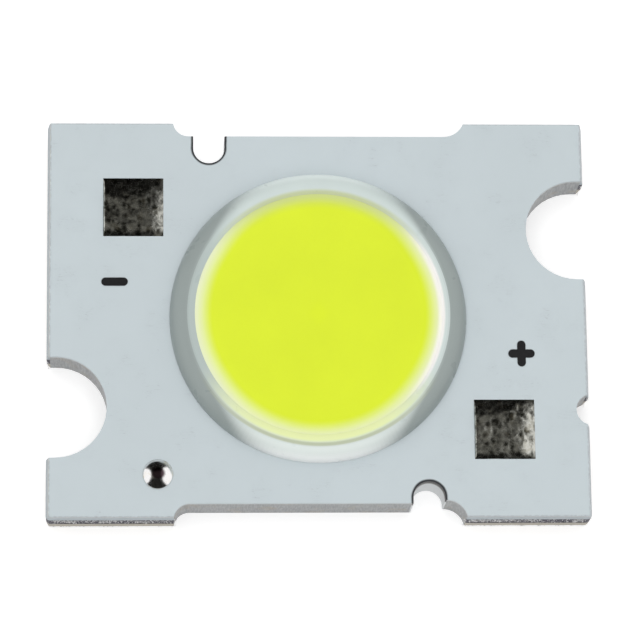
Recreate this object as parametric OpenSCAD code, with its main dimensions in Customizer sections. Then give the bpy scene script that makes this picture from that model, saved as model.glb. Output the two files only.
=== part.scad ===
// Chip-on-board LED on an aluminium-core board, with two screw notches.
// Origin: centre of the board's back face. +Z leaves the light face, +X runs to the plus side.

/* [Board] */
// Width over the snapped side edges
board_w = 18; // [17:0.1:24]
// Depth over the snapped front and rear edges
board_d = 13.5; // [13:0.1:18]
// Thickness of the finished board
board_t = 1.6; // [1:0.1:2.4]
// Radius of the four outer corners
corner_r = 0.15; // [0.05:0.05:0.4]

/* [Layers] */
// Thickness of the insulating layer on the aluminium
dielectric_t = 0.08; // [0.05:0.01:0.15]
// Thickness of the copper circuit
copper_t = 0.035; // [0.02:0.005:0.05]
// Thickness of the white mask, measured from the insulating layer
mask_t = 0.06; // [0.055:0.005:0.1]

/* [Snapped edges] */
// Depth of the score line from the light face
score_top = 0.45; // [0.2:0.05:0.6]
// Depth of the score line from the back face
score_back = 0.6; // [0.2:0.05:0.7]
// How far the torn web stands out of the side edges
side_flare = 0.1; // [0.02:0.01:0.15]
// How far the torn web stands out of the front and rear edges
end_flare = 0.03; // [0.01:0.01:0.1]

/* [Screw notches] */
// Radius of a screw notch
screw_notch_r = 1.7; // [1.1:0.05:1.8]
// Notch centre, in from the side edge
screw_notch_inset = 0.3; // [0:0.05:0.8]
// Notch centre, off the middle of the side
screw_notch_y = 3.03; // [2.6:0.01:3.4]

/* [Routed slots] */
// Depth of the routed slot behind the front and rear edges
slot_depth = 0.47; // [0.3:0.01:0.6]
// Radius of the router bit at the slot's left end
bit_r = 0.52; // [0.4:0.01:0.6]
// Centre of the bit at the left end, from the middle of the board
slot_left_x = 4.28; // [4.2:0.01:4.6]
// Radius of the relief at the slot's right end
relief_r = 0.71; // [0.6:0.01:0.8]
// Centre of the rear relief, from the middle of the board
rear_relief_x = 4.3; // [4.1:0.01:4.6]
// Centre of the front relief, from the middle of the board
front_relief_x = 4.16; // [4.1:0.01:4.6]
// Depth of the front relief behind the edge
front_relief_depth = 0.58; // [0.5:0.01:0.7]

/* [Key notches] */
// Width of the round-ended notches in the front and rear edges
key_w = 1.05; // [0.8:0.05:1.2]
// Notch centre, from the middle of the board
key_x = 3.6; // [3.4:0.05:3.65]
// Depth of the rear notch behind the edge
rear_key_depth = 1.41; // [1.1:0.01:1.5]
// Depth of the front notch behind the edge
front_key_depth = 1.2; // [1.1:0.01:1.5]
// Radius of the half-round notch in the plus side
side_key_r = 0.52; // [0.3:0.01:0.6]
// Place of that notch, in front of the middle of the side
side_key_y = 3.13; // [2.8:0.01:3.6]
// How far its centre lies outside the edge
side_key_out = 0.06; // [0:0.01:0.2]

/* [Solder points] */
// Side of a square solder pad
pad_size = 2; // [1.4:0.05:2.2]
// Pad centre, in from the side edge
pad_inset_x = 2.87; // [2.6:0.01:3]
// Pad centre, in from the front or rear edge
pad_inset_y = 2.95; // [2.7:0.01:3.1]
// Copper hidden under the mask all round a pad
pad_overlap = 0.2; // [0.1:0.05:0.3]
// Height of the solder above the mask
pad_solder_h = 0.11; // [0.05:0.01:0.2]
// Width of the rounded shoulder of the solder
pad_shoulder = 0.34; // [0.1:0.02:0.5]
// Diameter of the temperature test point
test_point_d = 1; // [0.6:0.05:1.2]
// Height of its solder dome above the mask
test_point_h = 0.23; // [0.1:0.01:0.3]
// Test point centre, in from the minus side edge
test_point_inset_x = 3.68; // [3.3:0.01:3.8]
// Test point centre, in from the front edge
test_point_inset_y = 1.45; // [1.3:0.01:1.6]

/* [Circuit] */
// Width of the track from a pad to its electrode
track_w = 1.4; // [0.8:0.1:1.8]
// Angle that each electrode covers round the light area
electrode_angle = 140; // [110:5:150]
// Width of an electrode under the dam, from the dam's inner foot outwards
electrode_w = 0.9; // [0.6:0.05:1.1]
// How far the mask reaches inside the dam
mask_lip = 0.1; // [0.05:0.01:0.12]
// Width of an electrode left bare for the bond wires
bond_ledge_w = 0.22; // [0.16:0.01:0.24]
// Gap between an electrode and the die land
copper_gap = 0.12; // [0.08:0.01:0.16]

/* [Light area] */
// Diameter inside the dam
light_d = 7.3; // [7.1:0.05:8.2]
// Width of the dam's foot
dam_w = 1.28; // [1:0.02:1.4]
// Height of the dam above the mask
dam_h = 0.62; // [0.54:0.01:0.64]
// How far the fill's rim lies below the dam's crest
rim_drop = 0.02; // [0.01:0.01:0.05]
// Rise of the fill's middle over its rim
fill_crown = 0.04; // [0.01:0.01:0.1]

/* [Dies] */
// Strings of dies side by side
strings = 5; // [3:1:5]
// Dies in one string
dies_in_string = 5; // [3:1:5]
// Distance between the dies of a string
die_pitch = 0.95; // [0.85:0.01:0.98]
// Distance between strings
string_pitch = 0.95; // [0.7:0.01:0.98]
// Length of a die, along its string
die_l = 0.6; // [0.5:0.02:0.64]
// Width of a die
die_w = 0.35; // [0.25:0.01:0.45]
// Thickness of a die
die_t = 0.15; // [0.1:0.01:0.18]

/* [Bond wires] */
// Diameter of a bond wire
wire_d = 0.025; // [0.02:0.005:0.04]
// Diameter of a ball bond
ball_d = 0.08; // [0.06:0.005:0.1]
// Height of a ball bond
ball_h = 0.02; // [0.01:0.005:0.03]
// Height of a wire loop above its first ball
loop_h = 0.2; // [0.16:0.01:0.24]
// Bend radius of a wire loop
loop_r = 0.12; // [0.08:0.01:0.14]
// Distance from a die's end to its bond
bond_inset = 0.09; // [0.06:0.01:0.12]

/* [Polarity marks] */
// Length of a mark's bar
mark_l = 0.88; // [0.6:0.02:1]
// Width of a mark's bar
mark_w = 0.28; // [0.16:0.02:0.36]
// Thickness of the ink
ink_t = 0.02; // [0.01:0.005:0.03]
// Mark centre, in from the side edge
mark_inset_x = 2.25; // [2:0.01:2.4]
// Mark centre, off the middle of the side
mark_y = 1.23; // [1.1:0.01:1.3]

/* [Hidden] */
side_x = board_w / 2;
end_y = board_d / 2;
copper_z = board_t - mask_t;
dielectric_z = copper_z - dielectric_t;
copper_top_z = copper_z + copper_t;
past = 1;

light_r = light_d / 2;
window_r = light_r - mask_lip;
ledge_r = window_r - bond_ledge_w;
land_r = ledge_r - copper_gap;
bond_r = window_r - bond_ledge_w / 2;
electrode_r = light_r + electrode_w;

// The dam's section is a circle cut off by the mask: dam_w wide there, dam_h high.
dam_mid_r = light_r + dam_w / 2;
bead_r = (pow(dam_w / 2, 2) + pow(dam_h, 2)) / (2 * dam_h);
bead_z = board_t + dam_h - bead_r;
rim_z = board_t + dam_h - rim_drop;
rim_r = dam_mid_r - sqrt(pow(bead_r, 2) - pow(rim_z - bead_z, 2));

pad_x = side_x - pad_inset_x;
pad_y = end_y - pad_inset_y;
test_point_x = test_point_inset_x - side_x;
test_point_y = test_point_inset_y - end_y;
test_dome_r = (pow(test_point_d / 2, 2) + pow(test_point_h, 2)) / (2 * test_point_h);

die_top_z = copper_top_z + die_t;
function die_name(s, d) = str("led_die_", s, "_", d);
function wires_name(s) = str("bond_wires_", s);

$fn = 96;

// ---- Board outline ----

module rounded_rectangle(w, d, r) {
    square([w - 2 * r, d], center = true);
    square([w, d - 2 * r], center = true);
    for (x = [-1, 1], y = [-1, 1])
        translate([x * (w / 2 - r), y * (d / 2 - r)])
            circle(r);
}

// A notch that opens to +X from its round end at the centre.
module open_notch(r) {
    circle(r);
    translate([0, -r])
        square([side_x, 2 * r]);
}

// The slot along the rear edge; relief_y is the depth reached by the round relief at its right end.
module edge_slot(relief_x, relief_y) {
    floor_y = end_y - slot_depth;
    translate([-slot_left_x, floor_y])
        square([slot_left_x + relief_x, slot_depth + past]);
    translate([-slot_left_x, floor_y + bit_r])
        circle(bit_r);
    translate([relief_x, end_y - relief_y + relief_r])
        circle(relief_r);
}

// A round-ended notch in the rear edge.
module key_notch(x, depth) {
    translate([x, end_y - depth + key_w / 2])
        rotate(90)
            open_notch(key_w / 2);
}

module board_outline() {
    difference() {
        rounded_rectangle(board_w, board_d, corner_r);
        for (turn = [0, 180])
            rotate(turn)
                translate([side_x - screw_notch_inset, screw_notch_y])
                    open_notch(screw_notch_r);
        edge_slot(rear_relief_x, slot_depth);
        key_notch(-key_x, rear_key_depth);
        mirror([0, 1]) {
            edge_slot(front_relief_x, front_relief_depth);
            key_notch(key_x, front_key_depth);
        }
        translate([side_x + side_key_out, -side_key_y])
            circle(side_key_r);
    }
}

// Section of the board across two scored and snapped edges, w apart at the torn web.
module snapped_section(w, flare) {
    polygon([
        [-w / 2 + flare, 0],
        [w / 2 - flare, 0],
        [w / 2, score_back],
        [w / 2, board_t - score_top],
        [w / 2 - flare, board_t],
        [-w / 2 + flare, board_t],
        [-w / 2, board_t - score_top],
        [-w / 2, score_back]
    ]);
}

// The slice of the snapped board between two heights.
module board_layer(low_z, high_z) {
    intersection() {
        translate([0, 0, low_z])
            linear_extrude(high_z - low_z)
                board_outline();
        rotate([90, 0, 0])
            linear_extrude(board_d + 2 * past, center = true)
                snapped_section(board_w, side_flare);
        rotate([90, 0, 90])
            linear_extrude(board_w + 2 * past, center = true)
                snapped_section(board_d, end_flare);
    }
}

module aluminium_core() {
    color("silver")
        board_layer(0, dielectric_z);
}

module dielectric_layer() {
    color("lightgray")
        board_layer(dielectric_z, copper_z);
}

// ---- Copper circuit ----

// Ring between two radii, kept only within half_angle of +X.
module ring_sector(inner_r, outer_r, half_angle) {
    reach = 2 * outer_r;
    difference() {
        circle(outer_r);
        circle(inner_r);
        for (side = [-1, 1])
            rotate(side * half_angle)
                translate([-reach, side > 0 ? 0 : -reach])
                    square([2 * reach, reach]);
    }
}

// Pad, track and electrode of the plus side; the minus side is the same turned by 180 degrees.
module polarity_copper() {
    pad_side = pad_size + 2 * pad_overlap;
    pad_angle = atan2(-pad_y, pad_x);
    track_l = norm([pad_x, pad_y]) - (ledge_r + electrode_r) / 2;
    translate([pad_x, -pad_y])
        square(pad_side, center = true);
    rotate(pad_angle)
        translate([(ledge_r + electrode_r) / 2, -track_w / 2])
            square([track_l, track_w]);
    ring_sector(ledge_r, electrode_r, electrode_angle / 2);
}

module copper_sheet() {
    translate([0, 0, copper_z])
        linear_extrude(copper_t)
            children();
}

module anode_copper() {
    color("goldenrod")
        copper_sheet()
            polarity_copper();
}

module cathode_copper() {
    color("goldenrod")
        copper_sheet()
            rotate(180)
                polarity_copper();
}

module die_land() {
    color("gainsboro")
        copper_sheet()
            circle(land_r);
}

module test_point_land() {
    color("goldenrod")
        copper_sheet()
            translate([test_point_x, test_point_y])
                circle(test_point_d / 2 + pad_overlap);
}

module solder_mask() {
    color("ghostwhite")
        difference() {
            board_layer(copper_z, board_t);
            anode_copper();
            cathode_copper();
            test_point_land();
            translate([0, 0, copper_z])
                linear_extrude(mask_t + past) {
                    circle(window_r);
                    for (side = [-1, 1])
                        translate([side * pad_x, -side * pad_y])
                            square(pad_size, center = true);
                    translate([test_point_x, test_point_y])
                        circle(test_point_d / 2);
                }
        }
}

// ---- Solder ----

// Tinned pad: fills its window in the mask, then swells into a soft cushion.
module pad_solder() {
    steps = 8;
    skin = 0.002;
    translate([-pad_size / 2, -pad_size / 2, copper_top_z])
        cube([pad_size, pad_size, board_t - copper_top_z]);
    hull()
        for (step = [0:steps]) {
            angle = 90 * step / steps;
            side = pad_size - 2 * pad_shoulder * (1 - cos(angle));
            round_r = pad_shoulder * sin(angle) / 2;
            translate([0, 0, board_t + (pad_solder_h - skin) * sin(angle)])
                linear_extrude(skin)
                    if (step == 0)
                        square(side, center = true);
                    else
                        rounded_rectangle(side, side, round_r, $fn = 32);
        }
}

module anode_solder() {
    color("dimgray")
        translate([pad_x, -pad_y])
            pad_solder();
}

module cathode_solder() {
    color("dimgray")
        translate([-pad_x, pad_y])
            pad_solder();
}

module test_point_solder() {
    color("dimgray")
        translate([test_point_x, test_point_y]) {
            translate([0, 0, copper_top_z])
                cylinder(h = board_t - copper_top_z, d = test_point_d);
            translate([0, 0, board_t])
                rotate_extrude()
                    intersection() {
                        translate([0, test_point_h - test_dome_r])
                            circle(test_dome_r);
                        square([test_point_d, test_point_h]);
                    }
        }
}

// ---- Light area ----

module silicone_dam() {
    color("whitesmoke")
        rotate_extrude()
            intersection() {
                translate([dam_mid_r, bead_z])
                    circle(bead_r);
                translate([light_r - past, board_t])
                    square([dam_w + 2 * past, dam_h + past]);
            }
}

// Height of the fill's surface at distance r from the middle.
function fill_z(r) = rim_z + fill_crown * (1 - pow(r / rim_r, 2));

// The fill before the dam, copper, dies and wires are taken out: its rim runs on into the dam.
module fill_blank() {
    rings = 16;
    inside_dam_r = rim_r + rim_drop;
    rotate_extrude()
        polygon(concat(
            [[0, copper_z], [window_r, copper_z], [window_r, board_t], [dam_mid_r, board_t]],
            [for (ring = [rings:-1:0]) [inside_dam_r * ring / rings, fill_z(inside_dam_r * ring / rings)]]
        ));
}

module phosphor_fill() {
    color("yellow")
        difference() {
            fill_blank();
            silicone_dam();
            anode_copper();
            cathode_copper();
            die_land();
            for (s = [1:strings]) {
                bond_wires(s);
                for (d = [1:dies_in_string])
                    led_die(s, d);
            }
        }
}

// ---- Dies and bond wires ----

function string_y(s) = ((strings + 1) / 2 - s) * string_pitch;
function die_x(d) = (d - (dies_in_string + 1) / 2) * die_pitch;

module led_die(s, d) {
    color("powderblue")
        translate([die_x(d) - die_l / 2, string_y(s) - die_w / 2, copper_top_z])
            cube([die_l, die_w, die_t]);
}

module ball_bond() {
    cylinder(h = ball_h, d = ball_d, $fn = 32);
}

// Straight length of wire that rises from the origin; wires are eight-sided.
module wire_run(length) {
    cylinder(h = length, d = wire_d, $fn = 8);
}

// Quarter bend of a wire that rises from the origin and leaves along +X.
module wire_bend() {
    translate([loop_r, 0, 0])
        rotate([90, 0, 180])
            rotate_extrude(angle = 90, $fn = 48)
                translate([loop_r, 0])
                    circle(d = wire_d, $fn = 8);
}

// One wire: ball, riser, bend, level run, bend and drop to a bond that is drop lower.
module bond_wire(span, drop) {
    riser = loop_h - loop_r;
    ball_bond();
    translate([0, 0, ball_h]) {
        wire_run(riser);
        translate([0, 0, riser])
            wire_bend();
        translate([loop_r, 0, loop_h])
            rotate([0, 90, 0])
                wire_run(span - 2 * loop_r);
    }
    translate([span, 0, ball_h + riser])
        mirror([1, 0, 0])
            wire_bend();
    translate([span, 0, ball_h - drop])
        wire_run(riser + drop);
    translate([span, 0, -drop])
        ball_bond();
}

// The wires of one string: electrode to die, die to die, and die to electrode.
module bond_wires(s) {
    y = string_y(s);
    bond_x = die_l / 2 - bond_inset;
    first_x = die_x(dies_in_string) + bond_x;
    electrode_x = sqrt(pow(bond_r, 2) - pow(y, 2));
    color("gold") {
        for (d = [1:dies_in_string - 1])
            translate([die_x(d) + bond_x, y, die_top_z])
                bond_wire(die_pitch - 2 * bond_x, 0);
        for (side = [-1, 1])
            translate([side * first_x, y, die_top_z])
                rotate(side > 0 ? 0 : 180)
                    bond_wire(electrode_x - first_x, die_t);
    }
}

// ---- Polarity marks ----

module mark_bar() {
    half_run = (mark_l - mark_w) / 2;
    square([2 * half_run, mark_w], center = true);
    for (side = [-1, 1])
        translate([side * half_run, 0])
            circle(d = mark_w, $fn = 48);
}

module minus_mark() {
    color("black")
        translate([mark_inset_x - side_x, mark_y, board_t])
            linear_extrude(ink_t)
                mark_bar();
}

module plus_mark() {
    color("black")
        translate([side_x - mark_inset_x, -mark_y, board_t])
            linear_extrude(ink_t) {
                mark_bar();
                rotate(90)
                    mark_bar();
            }
}

aluminium_core();
dielectric_layer();
cathode_copper();
anode_copper();
die_land();
test_point_land();
solder_mask();
cathode_solder();
anode_solder();
test_point_solder();
silicone_dam();
phosphor_fill();
minus_mark();
plus_mark();
for (s = [1:strings], d = [1:dies_in_string])
    led_die(s, d);
for (s = [1:strings])
    bond_wires(s);
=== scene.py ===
"""Looks of a chip-on-board LED: torn board edges, mask, solder, silicone dam and phosphor fill."""

import math

import bmesh
import bpy
from bpy.props import FloatProperty, FloatVectorProperty, IntProperty, PointerProperty
from mathutils import Matrix, Vector, noise


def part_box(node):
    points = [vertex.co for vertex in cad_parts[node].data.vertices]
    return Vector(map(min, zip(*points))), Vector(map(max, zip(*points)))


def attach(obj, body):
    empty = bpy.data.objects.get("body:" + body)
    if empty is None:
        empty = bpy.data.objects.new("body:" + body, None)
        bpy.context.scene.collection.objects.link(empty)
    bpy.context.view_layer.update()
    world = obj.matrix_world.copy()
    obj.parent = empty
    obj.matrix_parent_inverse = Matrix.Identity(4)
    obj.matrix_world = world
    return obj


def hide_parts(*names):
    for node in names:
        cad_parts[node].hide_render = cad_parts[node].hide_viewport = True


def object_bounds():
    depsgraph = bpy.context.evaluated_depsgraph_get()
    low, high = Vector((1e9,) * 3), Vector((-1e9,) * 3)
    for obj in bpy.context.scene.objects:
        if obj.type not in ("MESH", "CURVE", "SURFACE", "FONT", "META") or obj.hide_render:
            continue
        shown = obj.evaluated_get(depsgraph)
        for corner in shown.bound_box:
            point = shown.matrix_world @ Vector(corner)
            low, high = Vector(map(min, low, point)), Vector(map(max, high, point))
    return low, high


bl_info = {
    "name": "COB LED",
    "version": (1, 0, 0),
    "blender": (4, 5, 0),
    "location": "3D View > Sidebar > COB LED",
    "description": "Finishes a chip-on-board LED and sets its stage",
    "category": "Object",
}

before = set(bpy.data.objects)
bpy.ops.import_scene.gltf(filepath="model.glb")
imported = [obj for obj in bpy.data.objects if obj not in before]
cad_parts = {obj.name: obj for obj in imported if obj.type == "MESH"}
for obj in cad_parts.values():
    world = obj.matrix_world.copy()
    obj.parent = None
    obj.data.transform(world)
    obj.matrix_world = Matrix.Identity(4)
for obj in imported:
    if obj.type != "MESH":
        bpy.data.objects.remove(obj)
CAD_LOW, CAD_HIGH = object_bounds()
MM = 0.001
SAME = 1e-7  # Places closer than this, in metres, are one place.

# ---- Properties ----


def length(name, description, millimetres):
    """A length property; its default is given in millimetres."""
    return FloatProperty(
        name=name,
        description=description,
        default=millimetres * MM,
        min=0.0,
        precision=6,
        unit="LENGTH",
        subtype="DISTANCE",
    )


def colour(name, description, rgb):
    """A colour property."""
    return FloatVectorProperty(
        name=name,
        description=description,
        default=rgb,
        size=3,
        min=0.0,
        max=1.0,
        subtype="COLOR",
    )


def angle(name, description, degrees):
    """An angle property; its default is given in degrees."""
    return FloatProperty(
        name=name, description=description, default=math.radians(degrees), subtype="ANGLE"
    )


class CobLedBoard(bpy.types.PropertyGroup):
    """Sizes and colours of the board."""

    web_depth: length("Web depth", "How deep the torn web is broken out", 0.07)
    web_step: length("Web step", "Distance between the points of the torn web", 0.035)
    tooth_spacing: length("Tooth spacing", "Distance between torn teeth", 0.075)
    tooth_size: length("Tooth size", "Width of a torn tooth", 0.05)
    tooth_rise: length("Tooth rise", "How far teeth stray up or down from their path", 0.26)
    tooth_seed: IntProperty(name="Tooth seed", description="Seed of the torn teeth", default=7)
    mask_bevel: length("Mask edge", "Radius of the mask's rounded edges", 0.014)
    mask_colour: colour("Mask", "Colour of the white mask", (0.575, 0.645, 0.672))
    metal_colour: colour("Aluminium", "Colour of the bare aluminium", (0.56, 0.57, 0.58))


class CobLedSolder(bpy.types.PropertyGroup):
    """Sizes and colours of the solder."""

    shoulder: length("Shoulder", "Width of a pad's widest shoulder", 0.75)
    lump: length("Lumps", "Height of the lumps in the tin", 0.018)
    dark: colour("Dark tin", "Colour of the dull tin", (0.045, 0.045, 0.036))
    bright: colour("Bright tin", "Colour of the bright tin", (0.62, 0.62, 0.57))


class CobLedLight(bpy.types.PropertyGroup):
    """Sizes and colours of the dam and the fill."""

    wobble: length("Wobble", "How far the dispensed dam strays from a true circle", 0.02)
    dam_segments: IntProperty(name="Dam segments", description="Steps round the dam", default=192)
    dam_seed: IntProperty(name="Dam seed", description="Seed of the dam's unevenness", default=3)
    meniscus: length("Meniscus", "Depth of the fill's hollow beside the dam", 0.02)
    phosphor: colour("Phosphor", "Colour of the phosphor fill", (0.765, 0.90, 0.012))
    fringe: colour("Fringe", "Colour of the thin fill over the dam", (0.86, 0.92, 0.60))
    silicone: colour("Silicone", "Colour of the milky dam", (0.65, 0.73, 0.71))
    # This colour is the painted shade on the dam's grey side slopes.
    flank_shade: colour("Flank", "Colour of the dam's clear flanks", (0.33, 0.375, 0.365))


class CobLedStage(bpy.types.PropertyGroup):
    """Camera and light."""

    azimuth: angle("Azimuth", "Direction the camera looks in, clockwise from the rear", 11.211)
    elevation: angle("Elevation", "Height of the camera over the board", 75.66)
    roll: angle("Roll", "Turn of the camera about its own axis", 10.88)
    distance: length("Distance", "From the camera to the board", 125.18)
    lens: FloatProperty(name="Lens", description="Focal length in millimetres", default=212.04)


class CobLedSettings(bpy.types.PropertyGroup):
    """All settings of the part."""

    board: PointerProperty(type=CobLedBoard)
    solder: PointerProperty(type=CobLedSolder)
    light: PointerProperty(type=CobLedLight)
    stage: PointerProperty(type=CobLedStage)


# ---- Materials ----


def arithmetic(operation, swapped=False):
    """A method that takes a wire and another value through a math node."""

    def method(self, other=0.0):
        pair = (other, self) if swapped else (self, other)
        return self.nodes.math(operation, *pair)

    return method


class Wire:
    """An output socket that adds, multiplies and compares like a number."""

    def __init__(self, nodes, socket):
        self.nodes, self.socket = nodes, socket

    def __neg__(self):
        return 0.0 - self

    __abs__ = arithmetic("ABSOLUTE")
    __add__ = arithmetic("ADD")
    __radd__ = arithmetic("ADD", swapped=True)
    __sub__ = arithmetic("SUBTRACT")
    __rsub__ = arithmetic("SUBTRACT", swapped=True)
    __mul__ = arithmetic("MULTIPLY")
    __rmul__ = arithmetic("MULTIPLY", swapped=True)
    __truediv__ = arithmetic("DIVIDE")
    __pow__ = arithmetic("POWER")
    __gt__ = arithmetic("GREATER_THAN")
    __lt__ = arithmetic("LESS_THAN")


def emptied(owner):
    """The node tree of a material or a world, with nothing left in it."""
    owner.use_nodes = True
    owner.node_tree.nodes.clear()
    return owner.node_tree


class Nodes:
    """A node tree; every node in it comes from one method."""

    def __init__(self, tree):
        self.tree = tree

    def fill(self, node, inputs):
        for key, value in inputs.items():
            socket = node.inputs[key]
            if isinstance(value, Wire):
                self.tree.links.new(value.socket, socket)
            else:
                socket.default_value = value

    def node(self, kind, settings=None, inputs=None, output=0):
        """Adds a node and returns one of its outputs, if it has any."""
        made = self.tree.nodes.new(kind)
        for key, value in (settings or {}).items():
            setattr(made, key, value)
        self.fill(made, inputs or {})
        return Wire(self, made.outputs[output]) if made.outputs else None

    def math(self, operation, first, second=0.0):
        return self.node("ShaderNodeMath", {"operation": operation}, {0: first, 1: second})

    def larger(self, first, second):
        return self.math("MAXIMUM", first, second)

    def smaller(self, first, second):
        return self.math("MINIMUM", first, second)

    def vector(self, operation, first, second=(0.0, 0.0, 0.0)):
        return self.node("ShaderNodeVectorMath", {"operation": operation}, {0: first, 1: second})

    def scaled(self, vector, factor):
        return self.node(
            "ShaderNodeVectorMath", {"operation": "SCALE"}, {0: vector, "Scale": factor}
        )

    def parts(self, vector):
        """A vector's x, y and z."""
        return [
            self.node("ShaderNodeSeparateXYZ", inputs={0: vector}, output=axis) for axis in "XYZ"
        ]

    def ramp(self, value, low, high, to_low=0.0, to_high=1.0, kind="SMOOTHSTEP"):
        """Takes value from low..high to to_low..to_high, in a smooth step unless told otherwise."""
        ends = {"From Min": low, "From Max": high, "To Min": to_low, "To Max": to_high}
        return self.node(
            "ShaderNodeMapRange", {"interpolation_type": kind}, {"Value": value, **ends}
        )


class Finish(Nodes):
    """A material made of nodes round one Principled shader."""

    def __init__(self, name, **values):
        self.material = bpy.data.materials.new(name)
        super().__init__(emptied(self.material))
        surface = self.node("ShaderNodeBsdfPrincipled")
        self.shader = surface.socket.node
        self.node("ShaderNodeOutputMaterial", inputs={"Surface": surface})
        self.set(**values)

    def set(self, **values):
        """Sets the shader's inputs; Base_Color stands for Base Color."""
        self.fill(self.shader, {key.replace("_", " "): value for key, value in values.items()})

    def place(self):
        """The place on the surface, in millimetres in the object's frame."""
        return self.scaled(self.node("ShaderNodeTexCoord", output="Object"), 1 / MM)

    def stretched(self, vector, factors):
        return self.vector("MULTIPLY", vector, factors)

    def noise(self, vector, scale, detail=2.0, roughness=0.5, distortion=0.0):
        kind = {"Scale": scale, "Detail": detail, "Roughness": roughness, "Distortion": distortion}
        return self.node("ShaderNodeTexNoise", inputs={"Vector": vector, **kind})

    def cells(self, vector, scale):
        return self.node("ShaderNodeTexVoronoi", inputs={"Vector": vector, "Scale": scale})

    def mix(self, factor, first, second):
        """Mix of two colours."""
        pair = [c if isinstance(c, Wire) else (*c, 1.0) for c in (first, second)]
        return self.node(
            "ShaderNodeMix", {"data_type": "RGBA"}, {0: factor, 6: pair[0], 7: pair[1]}, output=2
        )

    def facing(self):
        """The surface's own normal in the object's frame, as (x, y, z)."""
        return self.parts(self.node("ShaderNodeNewGeometry", output="True Normal"))

    def bump(self, height, strength, distance):
        """Bump from a height; distance is in millimetres."""
        normal = self.node(
            "ShaderNodeBump",
            inputs={"Height": height, "Strength": strength, "Distance": distance * MM},
        )
        self.set(Normal=normal)


def tinted(rgb, factor):
    """A colour made darker or lighter, at most white."""
    return tuple(min(1.0, part * factor) for part in rgb)


def key_notches():
    """The round-ended notches of the front and rear edges in millimetres: (x, y, radius, side)."""
    # Only their round ends lie between these depths behind the edge and this near the middle.
    shallow, deep, widest = 0.66, 1.7, 4.5
    found = []
    vertices = [v.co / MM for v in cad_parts["solder_mask"].data.vertices]
    for side in (-1, 1):
        edge = CAD_HIGH.y / MM * side
        inner = [v for v in vertices if abs(v.x) < widest]
        ends = [v for v in inner if shallow < (edge - v.y) * side < deep]
        left, right = min(v.x for v in ends), max(v.x for v in ends)
        radius = (right - left) / 2
        bottom = min(v.y * side for v in ends) * side
        found.append(((left + right) / 2, bottom + radius * side, radius, side))
    return found


def beside_notches(f, x, y):
    """Distance outwards from the wall of the nearest key notch, in millimetres."""
    gaps = []
    for middle_x, middle_y, radius, side in key_notches():
        behind = f.smaller((y - middle_y) * side, 0.0)
        gaps.append(((x - middle_x) ** 2.0 + behind * behind) ** 0.5 - radius)
    return f.smaller(*gaps)


def aluminium_finish(board):
    """Rolled back, smooth score faces, torn web and milled walls."""
    f = Finish("aluminium", Metallic=0.3, IOR=1.45)
    vector = f.place()
    x, y, z = f.parts(vector)
    level = abs(f.facing()[2])
    half = CAD_HIGH / MM
    plain = tuple(board.metal_colour)
    # The scored faces lean in by up to this much, and the web stands between them.
    lean_x, lean_y, back_score_top, face_score_low = 0.11, 0.035, 0.6, 1.1
    web_low, web_high = 0.58, 1.17
    outer = f.larger(abs(x) > half.x - lean_x, abs(y) > half.y - lean_y)
    upright = outer * (level < 0.9)
    web = upright * (z > web_low) * (z < web_high)
    back_score = upright * (z < back_score_top)
    face_score = upright * (z > face_score_low)
    wall = (1.0 - outer) * (level < 0.5)
    grain = f.noise(f.stretched(vector, (0.6, 14.0, 1.0)), 3.0, 4.0, 0.6)
    rolled = f.mix(grain, tinted(plain, 0.86), tinted(plain, 1.12))
    mill = f.noise(f.stretched(vector, (9.0, 9.0, 1.2)), 2.0, 4.0, 0.62)
    stain = f.noise(vector, 1.7, 3.0, 0.6)
    milled = f.mix(f.ramp(mill, 0.3, 0.7), (0.22, 0.23, 0.24), (0.38, 0.39, 0.39))
    milled = f.mix(f.ramp(stain, 0.52, 0.68) * 0.35, milled, (0.36, 0.29, 0.19))
    # The drilled round ends: painted shade at their upper rim and painted light from the floor below
    # it.
    drilled = f.mix(f.ramp(z, 1.15, 1.35), (0.64, 0.66, 0.67), (0.05, 0.045, 0.04))
    milled = f.mix(beside_notches(f, x, y) < 0.05, milled, drilled)
    scored = f.noise(f.stretched(vector, (0.8, 0.8, 22.0)), 2.0, 3.0, 0.5)
    tan = f.mix(f.ramp(scored, 0.35, 0.65), (0.26, 0.23, 0.19), (0.54, 0.50, 0.41))
    upper = f.mix(scored, (0.27, 0.32, 0.35), (0.47, 0.53, 0.56))
    rough = f.noise(vector, 16.0, 5.0, 0.7)
    torn = f.mix(f.ramp(rough, 0.35, 0.65), (0.025, 0.025, 0.04), (0.18, 0.175, 0.20))
    base = f.mix(wall, rolled, milled)
    base = f.mix(face_score, base, upper)
    base = f.mix(back_score, base, tan)
    base = f.mix(web, base, torn)
    f.set(Base_Color=base, Roughness=0.34 + 0.22 * grain + 0.25 * web)
    f.bump(grain * (1.0 - wall) + mill * wall + 1.6 * rough * web, 0.5, 0.006)
    return f.material


def torn_finish():
    """Fresh torn aluminium of the teeth."""
    f = Finish("torn_aluminium", Metallic=0.6, IOR=1.45)
    vector = f.place()
    grit = f.noise(vector, 9.0, 4.0, 0.7)
    tone = f.mix(f.ramp(grit, 0.35, 0.65), (0.03, 0.03, 0.045), (0.25, 0.235, 0.215))
    f.set(Base_Color=tone, Roughness=0.35 + 0.3 * grit)
    f.bump(grit, 0.4, 0.004)
    return f.material


def dielectric_finish():
    """Filled resin under the copper."""
    f = Finish("dielectric", Roughness=0.55, IOR=1.5)
    vector = f.place()
    x, y = f.parts(vector)[:2]
    filler = f.noise(vector, 22.0, 3.0, 0.6)
    base = f.mix(filler, (0.44, 0.46, 0.47), (0.66, 0.68, 0.68))
    f.set(Base_Color=f.mix(beside_notches(f, x, y) < 0.05, base, (0.03, 0.028, 0.025)))
    f.bump(filler, 0.3, 0.004)
    return f.material


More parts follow.
